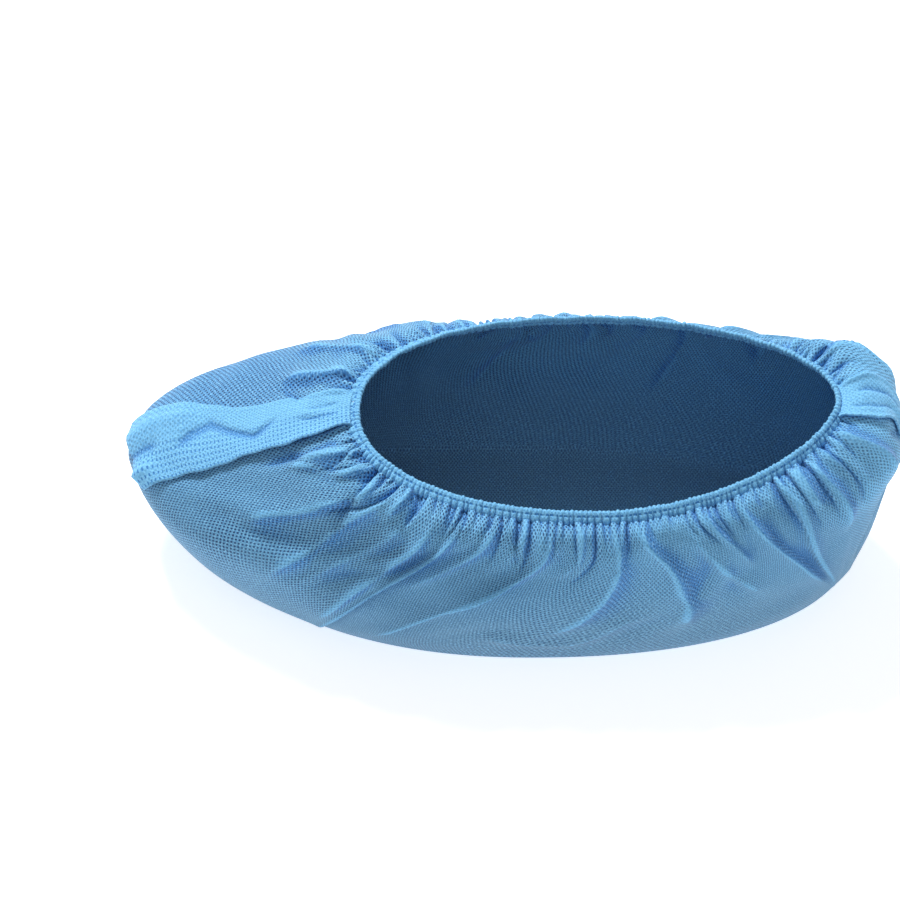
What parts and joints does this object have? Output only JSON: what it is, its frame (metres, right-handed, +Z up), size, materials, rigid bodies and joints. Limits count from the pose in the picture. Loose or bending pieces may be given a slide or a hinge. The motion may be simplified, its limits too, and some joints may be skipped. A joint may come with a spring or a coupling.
{
  "type": "disposable shoe cover",
  "caption": "Gathered non-woven cloth cover for a shoe, with a flat sole, toe and heel seams, and an elastic hem round an open top.",
  "frame": {"origin": "on the surface that the sole rests on, under the middle of the cover's box", "axes": "+X from toe to heel, +Y to the inner side of a left foot, +Z up"},
  "size_m": [0.3008, 0.1248, 0.0908],
  "materials": {
    "non_woven_cloth": "thin spun-bonded cloth, matt, with rows of tiny embossed points",
    "gathered_hem": "folded and tightly gathered spun-bonded cloth, matt",
    "double_cloth": "two welded layers of spun-bonded cloth, matt, with rows of weld marks",
    "elastic": "thin bare rubber band, satin"
  },
  "bodies": {
    "root": {"sheet": "non_woven_cloth", "hem": "gathered_hem", "elastic": "elastic", "toe_seam_flap": "double_cloth", "heel_seam_flap": "double_cloth"}
  },
  "joints": []
}
